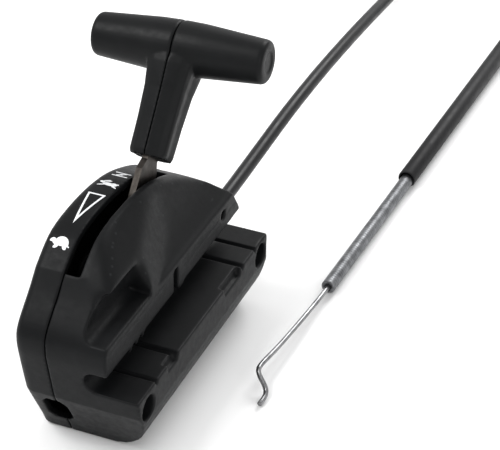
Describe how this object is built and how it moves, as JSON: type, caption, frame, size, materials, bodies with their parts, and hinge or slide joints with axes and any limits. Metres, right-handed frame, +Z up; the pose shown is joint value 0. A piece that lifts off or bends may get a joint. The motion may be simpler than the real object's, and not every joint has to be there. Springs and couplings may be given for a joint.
{
  "type": "hand throttle control",
  "caption": "Hand throttle lever with a T-shaped handle, a two-part moulded housing with a handlebar channel, and its control cable with a wire end.",
  "frame": {"origin": "on the housing's flat base, under the middle of the right body", "axes": "+X along the lever's pivot towards the open side of the handlebar channel, +Y towards the cable's exit, +Z up"},
  "size_m": [0.0911, 0.4367, 0.1054],
  "materials": {
    "housing": "fine moulded grain",
    "grip": "fine moulded grain, slightly smoother",
    "blade_steel": "dull brushed",
    "zinc": "zinc plated",
    "conduit": "dull silver spiral wire",
    "wire": "bright drawn wire",
    "fibre": "pressed fibre",
    "cable_jacket": "satin vinyl",
    "sleeve": "matte vinyl",
    "icons": "white pad print"
  },
  "bodies": {
    "root": {"left_cover": "housing", "right_body": "housing", "pivot_bolt": "zinc", "pivot_nut": "zinc", "pivot_bush": "blade_steel", "wave_washer": "blade_steel", "friction_washer_left": "fibre", "friction_washer_right": "fibre", "screw_front": "zinc", "nut_front": "zinc", "clamp_screw": "zinc", "screw_top": "zinc", "conduit_end": "zinc", "conduit_ferrule": "blade_steel", "cable_clamp": "blade_steel", "cable_lead": "cable_jacket", "cable_coil": "cable_jacket", "coil_tie": "cable_jacket", "cable_tail": "cable_jacket", "bare_conduit": "conduit", "end_sleeve": "sleeve"},
    "lever": {"lever_blade": "blade_steel", "handle_right": "grip", "handle_left": "grip", "handle_pin": "zinc"},
    "inner_wire_body": {"inner_wire": "wire"},
    "end_wire_body": {"end_wire": "wire"}
  },
  "joints": [
    {"name": "throttle_lever", "type": "hinge", "parent": "root", "child": "lever", "pos_m": [-0.0046, -0.016, 0.038], "axis": [1, 0, 0], "range_deg": [0, 68]},
    {"name": "inner_wire_slide", "type": "slide", "parent": "root", "child": "inner_wire_body", "axis": [0, 1, 0], "range_m": [0, 0.022]},
    {"name": "end_wire_slide", "type": "slide", "parent": "root", "child": "end_wire_body", "axis": [-0.033, -0.9995, 0], "range_m": [0, 0.022]}
  ],
  "couplings": [
    {"joint": "inner_wire_slide", "follows": "throttle_lever", "m_per_rad": 0.01845},
    {"joint": "end_wire_slide", "follows": "throttle_lever", "m_per_rad": 0.01845}
  ]
}
